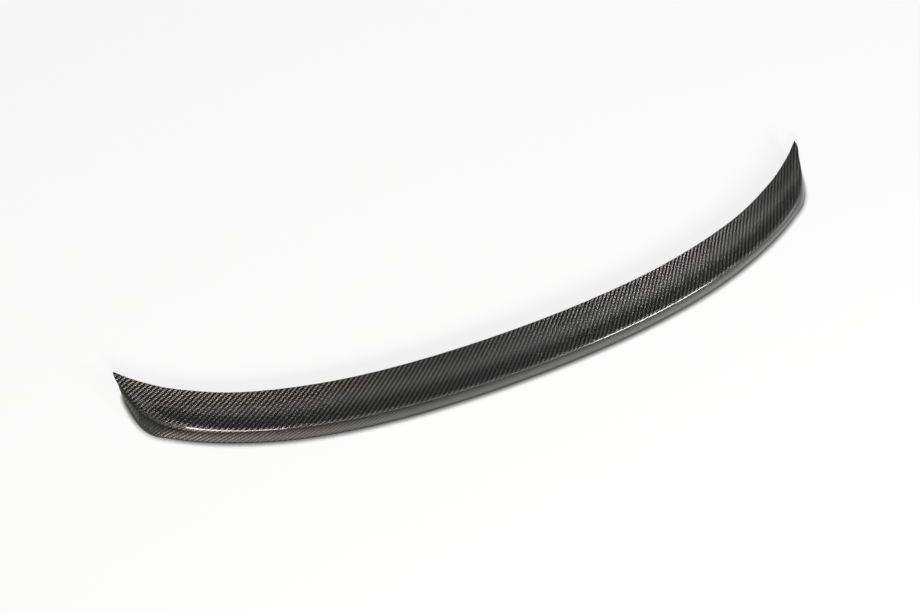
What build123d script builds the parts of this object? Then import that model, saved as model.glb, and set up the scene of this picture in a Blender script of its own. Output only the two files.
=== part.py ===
from build123d import *
import os

# Boot lid lip spoiler, moulded in one piece as a skin with an open underside.
# X runs across the car, +Y points to the front of the car and Z is up.
# The rear bonding land lies in the plane Z = 0, on which the part also rests.

# Driving dimensions, in mm
SPAN = 1200
TIP_Y = 106.1

# Sweep of the leading edge from the middle to a tip: how far forward each term carries it
SWEEP_GENTLE = 61
SWEEP_FULL = 57
SWEEP_END = 18.5

# Cross section in the straight part, measured back from the leading edge
LIP_BACK = 63.5
BASE_BACK = 75.5
LEAD_HEIGHT = 17.5
LIP_HEIGHT = 26
LEAD_THICKNESS = 2
TOP_HOLLOW = 3.4
REAR_CROWN = 0.7
LIP_ROUND = 3.6
BOTTOM_ROUND = 2.6
# Round of the lip near the tips, where it has fallen to the height of the leading edge
LIP_ROUND_TIP = 10

# Skin of the moulding and the two lands that are bonded to the boot lid
SKIN = 2.2
FRONT_LAND = 11
REAR_LAND = 12
CUT_BELOW = 6
# The flat under the rear land runs this much further before the open underside takes it
LAND_SPARE = 8
# The rear land is moulded this much proud and ground flat
GRINDING = 0.1

# Stations of one half, from the middle outwards: the form is set here and runs smoothly
# between them.
# Straight part: place of the station as a share of half the span, and how much of its rise
# above the leading edge the lip has there. The first one lies beyond the middle, so that the
# form runs straight through it.
STRAIGHT_STATIONS = (
    (-0.2667, 1),
    (0, 1),
    (0.2667, 1),
    (0.5, 1),
    (0.6667, 0.965),
    (0.8, 0.894),
)
# End, where the rear face turns the corner and runs forward to the tip. As shares of
# BASE_BACK: how far in from the tip the leading edge lies, how far in and how far behind it
# the bottom edge. Height of the bottom edge as a share of LEAD_HEIGHT. Share of the way
# between the two edges at which the lip stands, and its rise as above.
CORNER_STATIONS = (
    (0.927, 0.927, 1.688, 0, 0.797, 0.741),
    (0.636, 0.456, 1.444, 0, 0.69, 0.365),
    (0.464, 0.272, 1.318, 0, 0.63, 0.141),
    (0.331, 0.166, 1.113, 0.017, 0.63, 0.047),
    (0.225, 0.1125, 0.848, 0.143, 0.66, -0.024),
    (0.119, 0.053, 0.503, 0.457, 0.77, -0.059),
    (0.0464, 0.0159, 0.199, 0.771, 0.8, -0.035),
    (0.0132, 0.0026, 0.053, 0.914, 0.82, -0.012),
)
# Cross sections lofted through the stations, and the share of them that is hollow
SECTION_COUNT = 40
HOLLOW_END = 0.9
# The roof of the hollow ends at this share of the way to the lip, and its wall starts this
# many skins down the rear face, with a flat across the corner between them
ROOF_END = 0.94
WALL_START = 2.4


def lead_y(x):
    # the leading edge bends forward gently in the middle and sharply at the tips
    share = x / (SPAN / 2)
    sweep = SWEEP_GENTLE * share**2 + SWEEP_FULL * share**4 + SWEEP_END * share**12
    return TIP_Y - SWEEP_GENTLE - SWEEP_FULL - SWEEP_END + sweep


def lip_height(rise):
    return LEAD_HEIGHT + (LIP_HEIGHT - LEAD_HEIGHT) * rise


def straight_station(across, rise):
    # points of the leading edge, the lip and the bottom edge, square to the car
    x = across * SPAN / 2
    lead = Vector(x, lead_y(x), LEAD_HEIGHT)
    lip = Vector(x, lead_y(x) - LIP_BACK, lip_height(rise))
    base = Vector(x, lead_y(x) - BASE_BACK, -GRINDING)
    return lead, lip, base


def corner_station(lead_in, base_in, behind, base_share, lip_share, rise):
    # the same three points where the band fans round the corner
    lead_x = SPAN / 2 - lead_in * BASE_BACK
    base_x = SPAN / 2 - base_in * BASE_BACK
    lead = Vector(lead_x, lead_y(lead_x), LEAD_HEIGHT)
    base_y = TIP_Y - behind * BASE_BACK
    base = Vector(base_x, base_y, base_share * LEAD_HEIGHT - GRINDING)
    between = lead + (base - lead) * lip_share
    lip = Vector(between.X, between.Y, lip_height(rise))
    return lead, lip, base


def guide_curves():
    # the leading edge, the lip and the bottom edge, in step with each other
    stations = [straight_station(*row) for row in STRAIGHT_STATIONS]
    stations += [corner_station(*row) for row in CORNER_STATIONS]
    lead, lip, base = zip(*stations)
    travelled = [0]
    for here, after in zip(base, base[1:]):
        travelled.append(travelled[-1] + (after - here).length)
    return [Edge.make_spline(edge, parameters=travelled) for edge in (lead, lip, base)]


LEAD_CURVE, LIP_CURVE, BASE_CURVE = guide_curves()


def section_points(share):
    # the plane of the cross section at a share of the way from the first station to the tip,
    # with local x running rearwards, and the three guide points in it
    lead = LEAD_CURVE @ share
    lip = LIP_CURVE @ share
    base = BASE_CURVE @ share
    back = Vector(base.X - lead.X, base.Y - lead.Y, 0)
    plane = Plane(origin=(lead.X, lead.Y, 0), x_dir=back, z_dir=back.cross(Vector(0, 0, 1)))
    return plane, [plane.to_local_coords(point) for point in (lead, lip, base)]


def key_points(points):
    # outline points in the plane: top and foot of the leading edge, lip, bottom edge, far
    # side of the flat under it, and the size of the section as a share of the straight one
    lead, lip, base = points
    size = min(1, base.X / BASE_BACK)
    top = Vector(0, lead.Y)
    foot = Vector(0, lead.Y - LEAD_THICKNESS * min(1, 2 * size))
    flat_end = Vector(base.X - (REAR_LAND + LAND_SPARE) * size, base.Y)
    return top, foot, Vector(lip.X, lip.Y), Vector(base.X, base.Y), flat_end, size


def bowed(start, end, rise, begin=0, finish=1):
    # control points of a shallow curve whose middle stands off its chord to the left by
    # rise, cut back to the stretch between two shares of its way
    chord = end - start
    side = Vector(-chord.Y, chord.X).normalized()
    middle = start + chord * 0.5 + side * rise * 2

    def blend(s, t):
        cross = s * (1 - t) + t * (1 - s)
        return start * (1 - s) * (1 - t) + middle * cross + end * s * t

    return blend(begin, begin), blend(begin, finish), blend(finish, finish)


def outer_outline(points):
    top, foot, lip, bottom, flat_end, size = key_points(points)
    rise = (lip.Y - top.Y) / (LIP_HEIGHT - LEAD_HEIGHT)
    softer = (LIP_ROUND_TIP - LIP_ROUND) * (1 - max(0, min(1, rise)))
    lip_round = (LIP_ROUND + softer) * size
    bottom_round = BOTTOM_ROUND * size
    lip_share = lip_round / (lip - top).length
    rear_length = (bottom - lip).length
    lip_end = lip_round / rear_length
    bottom_start = 1 - bottom_round / rear_length
    top_face = bowed(top, lip, -TOP_HOLLOW * size, 0, 1 - lip_share)
    rear_face = bowed(lip, bottom, REAR_CROWN * size, lip_end, bottom_start)
    after_bottom = bottom - Vector(bottom_round, 0)
    with BuildLine() as outline:
        Bezier(*top_face)
        Bezier(top_face[-1], lip, rear_face[0])
        Bezier(*rear_face)
        Bezier(rear_face[-1], bottom, after_bottom)
        Line(after_bottom, flat_end)
        Line(flat_end, foot)
        Line(foot, top)
    make_face(outline.edges())


def hollow_outline(points):
    # the inside of the skin, open below between the two bonding lands
    top, foot, lip, bottom, flat_end, size = key_points(points)
    rear_line = (bottom - lip).normalized()
    inward = Vector(rear_line.Y, -rear_line.X)
    under = Vector(0, -SKIN)
    below = Vector(0, -CUT_BELOW)
    land_edge = bottom - Vector(REAR_LAND * size, 0)
    front_edge = foot + (flat_end - foot).normalized() * FRONT_LAND * size
    front_share = FRONT_LAND * size / (lip - top).length
    inside_top = bowed(top + under, lip + under, -TOP_HOLLOW * size, front_share, ROOF_END)
    up_to_land = SKIN * (1 - inward.Y) / -rear_line.Y
    inside_lip = lip + inward * SKIN + rear_line * WALL_START * SKIN
    inside_bottom = bottom + inward * SKIN - rear_line * up_to_land
    with BuildLine() as outline:
        Bezier(*inside_top)
        Line(inside_top[-1], inside_lip)
        Line(inside_lip, inside_bottom)
        Line(inside_bottom, land_edge - under)
        Line(land_edge - under, land_edge + below)
        Line(land_edge + below, front_edge + below)
        Line(front_edge + below, inside_top[0])
    make_face(outline.edges())


with BuildPart() as boot_lip_spoiler:
    # the full outer form of one half
    for step in range(SECTION_COUNT + 1):
        plane, points = section_points(step / SECTION_COUNT)
        with BuildSketch(plane):
            outer_outline(points)
    loft()
    # the open underside
    for step in range(int(SECTION_COUNT * HOLLOW_END) + 1):
        plane, points = section_points(step / SECTION_COUNT)
        with BuildSketch(plane):
            hollow_outline(points)
    loft(mode=Mode.SUBTRACT)
    # the rear land ground flat
    with Locations((0, 0, -CUT_BELOW / 2)):
        Box(2 * SPAN, SPAN, CUT_BELOW, mode=Mode.SUBTRACT)
    # the other half
    split(bisect_by=Plane.YZ, keep=Keep.TOP)
    mirror(about=Plane.YZ)

boot_lip_spoiler.part.label = "boot_lip_spoiler"

os.makedirs("parts", exist_ok=True)
export_step(boot_lip_spoiler.part, "parts/boot_lip_spoiler.step")
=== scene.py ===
import bpy
import math
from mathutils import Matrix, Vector

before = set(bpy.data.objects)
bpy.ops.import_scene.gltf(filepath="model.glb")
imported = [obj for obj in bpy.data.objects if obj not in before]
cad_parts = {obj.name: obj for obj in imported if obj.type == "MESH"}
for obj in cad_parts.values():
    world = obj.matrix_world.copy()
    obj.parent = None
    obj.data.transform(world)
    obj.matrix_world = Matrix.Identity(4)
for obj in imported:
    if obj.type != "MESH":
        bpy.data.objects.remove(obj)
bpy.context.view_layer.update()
bpy.ops.object.select_all(action="DESELECT")

# Viewpoint of the photograph: the spoiler lies on a table and is seen through a long lens,
# from high up beyond its left end and a little behind it, about 3.6 m away.
bpy.ops.object.camera_add(
    location=(-1.5524, -0.4701, 3.2556),
    rotation=(math.radians(17.2244), math.radians(-19.6042), math.radians(-24.1833)),
)
camera = bpy.context.object
camera.name = "table_view"
camera.data.sensor_width = 36
camera.data.lens = 94.053
camera.data.clip_start = 0.1
camera.data.clip_end = 60
bpy.context.scene.camera = camera

# Boot lid lip spoiler. One skin of carbon fibre twill laid up in a mould with epoxy, clear
# coated and polished outside, left bare inside and on the two lands that are bonded down.
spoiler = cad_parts["boot_lip_spoiler"]

TOW = 0.002                # width of one tow, in metres as all lengths here
REPEAT = 4                 # tows in one repeat of the twill, which goes over two and under two
CLOTH_RADIUS = 1.77        # the cloth is drawn along the band in this gentle arc
CLOTH_CENTRE = 1.66        # its centre lies this far ahead of the spoiler's middle
CLOTH_ASKEW = 0.135        # and this far to the right, since the cloth lies a little askew
CREST = 0.026              # height of the lip's corner before its round, where the cloth turns down
TIP_CREST = 0.0175         # height of that corner near the tips
FALL_START = 0.42          # distance from the middle at which the lip starts to fall
FALL_END = 0.575           # and at which it has the height that it keeps to the tip
TOP_TILT = 0.9             # a face is the top one where its direction is this far upward or more
WALL_TILT = 0.7            # and a standing one where it is this far upward or less
BARE_TILT = -0.02          # and bare where it is downward by more than this
WRAP = 0.6                 # cloth taken up by the rear face, over its height
CROWN = 0.8                # slope at the edge of a tow's rounded back
STRAND = 4                 # bundles of fibres seen across one tow
ROUNDNESS = 0.2            # slope at the sides of a bundle
SLANT = 0.6                # how far the ends of the floats are pushed askew by their neighbours
DIP = 0.10                 # slope at the ends of a float, where the tow goes under
DIMMED = 0.85              # how strongly the painted shade just under the lip darkens the colour and takes away the coat
DIM_START = 0.04           # share of the way from the lip to the table at which that sets in
DIM_FULL = 0.12            # and is full
FADE_START = 0.15          # and starts to fade
FADE_END = 0.6             # and is gone
FIBRE_ROUGHNESS = 0.36
BARE_ROUGHNESS = 0.6
COAT_ROUGHNESS = 0.06
COAT_INDEX = 1.5           # how strongly the clear coat bends light
# both tow sets are the same dark fibre; the lengthwise ones are painted lighter, as painted sheen for the
# lamps they catch
LONG_SHEEN_COLOUR = (0.118, 0.113, 0.105, 1)
CROSS_COLOUR = (0.034, 0.034, 0.034, 1)
# painted shade: the dark colour given to the rear face just under the lip
UNDER_LIP_SHADE_COLOUR = (0.010, 0.011, 0.012, 1)
BARE_COLOUR = (0.040, 0.040, 0.041, 1)


class Wire:
    """A socket of a node tree that Python's operators can join to others."""

    def __init__(self, tree, socket):
        self.tree = tree
        self.socket = socket

    def node(self, kind, inputs=(), out=0, **settings):
        made = self.tree.nodes.new(kind)
        for name, value in settings.items():
            setattr(made, name, value)
        for name, value in dict(inputs).items():
            if isinstance(value, Wire):
                self.tree.links.new(value.socket, made.inputs[name])
            else:
                made.inputs[name].default_value = value
        return Wire(self.tree, made.outputs[out] if made.outputs else None)

    def maths(self, operation, *values):
        return self.node("ShaderNodeMath", enumerate(values), operation=operation)

    def vectors(self, operation, *values, out=0):
        return self.node("ShaderNodeVectorMath", enumerate(values), out, operation=operation)

    def __add__(self, other): return self.maths("ADD", self, other)
    def __radd__(self, other): return self.maths("ADD", other, self)
    def __sub__(self, other): return self.maths("SUBTRACT", self, other)
    def __rsub__(self, other): return self.maths("SUBTRACT", other, self)
    def __mul__(self, other): return self.maths("MULTIPLY", self, other)
    def __rmul__(self, other): return self.maths("MULTIPLY", other, self)
    def __truediv__(self, other): return self.maths("DIVIDE", self, other)
    def __lt__(self, other): return self.maths("LESS_THAN", self, other)
    def __mod__(self, other): return self.maths("FLOORED_MODULO", self, other)
    def __abs__(self): return self.maths("ABSOLUTE", self)
    def floor(self): return self.maths("FLOOR", self)

    def axis(self, letter):
        return self.node("ShaderNodeSeparateXYZ", {0: self}, out=letter)

    def flattened(self):
        return self.vectors("MULTIPLY", self, (1.0, 1.0, 0.0))

    def scaled(self, factor):
        return self.node("ShaderNodeVectorMath", {0: self, "Scale": factor}, operation="SCALE")

    def ramp(self, start, end, low=0.0, high=1.0, kind="SMOOTHSTEP"):
        """Runs from low to high while this value goes from start to end."""
        spans = {0: self, 1: start, 2: end, 3: low, 4: high}
        return self.node("ShaderNodeMapRange", spans, interpolation_type=kind)

    def tint(self, first, second):
        """Goes from the first colour to the second while this value goes from 0 to 1."""
        return self.node("ShaderNodeMix", {0: self, 6: first, 7: second}, out=2, data_type="RGBA")


def blank(name):
    """A new material, and a wire in its tree to start from."""
    material = bpy.data.materials.new(name)
    material.use_nodes = True
    material.node_tree.nodes.clear()
    return material, Wire(material.node_tree, None)


carbon, new = blank("clear_coated_carbon_twill")
place = new.node("ShaderNodeTexCoord", out="Object")
facing = new.node("ShaderNodeTexCoord", out="Normal")
normal = new.node("ShaderNodeNewGeometry", out="Normal")

# which way the skin faces: inside it, the direction is turned round
tilt = facing.axis("Z")
upward = tilt.maths("SIGN", tilt)
inside = tilt < BARE_TILT
steep = abs(tilt).ramp(TOP_TILT, WALL_TILT)
outward = new.vectors("NORMALIZE", facing.flattened()).scaled(upward)

# the cloth laid flat: what the rear face takes up is added outwards
height = place.axis("Z")
taken_up = (CREST - height) * WRAP * steep
laid = new.vectors("ADD", place, outward.scaled(taken_up))
from_centre = new.vectors("SUBTRACT", laid, (CLOTH_ASKEW, CLOTH_CENTRE, 0.0)).flattened()
angle = new.maths("ARCTAN2", from_centre.axis("X"), 0 - from_centre.axis("Y"))
along = angle * (CLOTH_RADIUS / TOW)
ahead = (CLOTH_RADIUS - new.vectors("LENGTH", from_centre, out="Value")) * (1 / TOW)

# twill: over two tows, under two, one tow further at each row
column = along.floor()
row = ahead.floor()
side_along = along - column - 0.5
side_ahead = ahead - row - 0.5
slanted = column - row + SLANT * (side_along - side_ahead) + 0.5
lengthwise = slanted % REPEAT < REPEAT / 2
over_along = (along - row) % REPEAT - 1
over_ahead = (ahead - column) % REPEAT - 2

# the rounded back of each tow, and of each bundle in it, leans the light one way or the other
forwards = new.vectors("NORMALIZE", from_centre).scaled(-1.0)
drawn = new.vectors("CROSS_PRODUCT", forwards, (0.0, 0.0, 1.0))
bundle_along = (along * STRAND) % 1 - 0.5
bundle_ahead = (ahead * STRAND) % 1 - 0.5
round_along = side_along * 2 * CROWN + bundle_along * 2 * ROUNDNESS
round_ahead = side_ahead * 2 * CROWN + bundle_ahead * 2 * ROUNDNESS
lean_drawn = lengthwise * (over_along * DIP) + (1 - lengthwise) * round_along
lean_forwards = lengthwise * round_ahead + (1 - lengthwise) * (over_ahead * DIP)
lean = new.vectors("ADD", drawn.scaled(lean_drawn), forwards.scaled(lean_forwards))
along_skin = new.vectors("SUBTRACT", lean, new.vectors("PROJECT", lean, normal))
fibre_normal = new.vectors("NORMALIZE", new.vectors("ADD", normal, along_skin))

# painted shade just under the lip: the real rear face is dark there, since it seems to be rounder
# than this one and to mirror the dark room, so this one's colour is darkened and its coat thinned there
crest = abs(place.axis("X")).ramp(FALL_START, FALL_END, CREST, TIP_CREST)
down = 1 - height / crest
past_lip = down.ramp(DIM_START, DIM_FULL)
low = down.ramp(FADE_START, FADE_END, kind="LINEAR")
painted_lip_shade = steep * past_lip * (1 - low) * DIMMED * (1 - inside)

# painted sheen: the lengthwise tows get the lighter colour
colour = lengthwise.tint(CROSS_COLOUR, LONG_SHEEN_COLOUR)
colour = painted_lip_shade.tint(colour, UNDER_LIP_SHADE_COLOUR)
colour = inside.tint(colour, BARE_COLOUR)
coated = new.node(
    "ShaderNodeBsdfPrincipled",
    {
        "Base Color": colour,
        "Metallic": 1.0,
        "Roughness": FIBRE_ROUGHNESS + inside * (BARE_ROUGHNESS - FIBRE_ROUGHNESS),
        "Normal": fibre_normal,
        "Coat Weight": (1 - painted_lip_shade) * (1 - inside),
        "Coat Roughness": COAT_ROUGHNESS,
        "Coat IOR": COAT_INDEX,
    },
)
new.node("ShaderNodeOutputMaterial", {"Surface": coated})
spoiler.material_slots[0].material = carbon

# Table top for the photograph: a wide sheet of white paper. Shown as bright as the
# photograph has it, and still lit by the lamps, so that the shadows stay.
SHEET_SIDE = 40
OWN_GLOW = 0.86            # share of the sheet's look that doesn't depend on the lamps
CONTACT_REACH = 0.009      # painted contact shadow: the sheet is darkened where the part is closer than this
CONTACT_WEIGHT = 6.0       # how heavy and wide that painted shadow line is within its reach
PAPER_COLOUR = (0.8, 0.8, 0.8, 1)
# colour of the painted contact shadow
CONTACT_SHADOW_COLOUR = (0.02, 0.02, 0.02, 1)

bpy.ops.mesh.primitive_plane_add(size=SHEET_SIDE, location=(0, 0, 0))
paper = bpy.context.object
paper.name = "paper"
white, new = blank("white_paper")
straight, glossy, through = (
    new.node("ShaderNodeLightPath", out=f"Is {ray} Ray") for ray in ("Camera", "Glossy", "Transmission")
)
seen = new.maths("MAXIMUM", straight, new.maths("MAXIMUM", glossy, through))
lit = new.node("ShaderNodeBsdfDiffuse", {"Color": PAPER_COLOUR})
glow = new.node("ShaderNodeEmission", {"Strength": 1.0})
sheet = new.node("ShaderNodeMixShader", {0: seen * OWN_GLOW, 1: lit, 2: glow})

# painted contact shadow: the paper is darkened into a dark line along the part's lower edge, where shade
# falls
open_sky = new.node("ShaderNodeAmbientOcclusion", {"Distance": CONTACT_REACH}, out="AO", samples=8)
painted_contact_shadow = new.node("ShaderNodeBsdfDiffuse", {"Color": CONTACT_SHADOW_COLOUR})
unshaded = open_sky.maths("POWER", open_sky, CONTACT_WEIGHT)
sheet = new.node("ShaderNodeMixShader", {0: unshaded, 1: painted_contact_shadow, 2: sheet})

# clear from below, so that the part's underside can be seen through it
below = new.node("ShaderNodeNewGeometry", out="Backfacing")
clear = new.node("ShaderNodeBsdfTransparent")
sheet = new.node("ShaderNodeMixShader", {0: below, 1: sheet, 2: clear})
new.node("ShaderNodeOutputMaterial", {"Surface": sheet})
paper.data.materials.append(white)

# Dim studio room. Two soft boxes stand behind the spoiler, one to each side, and a gridded
# panel hangs ahead of and beyond its right end, pointing back at its right half.
ROOM_COLOUR = (0.15, 0.16, 0.165, 1)
room = bpy.data.worlds.new("studio")
bpy.context.scene.world = room
room.use_nodes = True
room.node_tree.nodes["Background"].inputs["Color"].default_value = ROOM_COLOUR


def soft_box(name, place, aim, width, depth, watts):
    bpy.ops.object.light_add(type="AREA", location=place)
    lamp = bpy.context.object
    lamp.name = name
    lamp.data.shape = "RECTANGLE"
    lamp.data.size = width
    lamp.data.size_y = depth
    lamp.data.energy = watts
    way = [a - b for a, b in zip(aim, place)]
    lamp.rotation_mode = "QUATERNION"
    lamp.rotation_quaternion = Vector(way).to_track_quat("-Z", "Y")
    return lamp


soft_box("window_box", (1.49, -1.70, 0.81), aim=(0, 0, 0), width=0.64, depth=0.52, watts=52)
side = soft_box("side_box", (-0.74, -2.05, 1.28), aim=(0, 0, 0), width=1.16, depth=0.90, watts=74)
side.data.color = (1.0, 0.97, 0.91)
panel = soft_box("ceiling_panel", (1.31, 0.68, 1.97), aim=(0.25, -0.02, 0), width=1.6, depth=1.6, watts=0.09)
panel.data.spread = math.radians(22)

bpy.context.scene.view_settings.view_transform = "Standard"
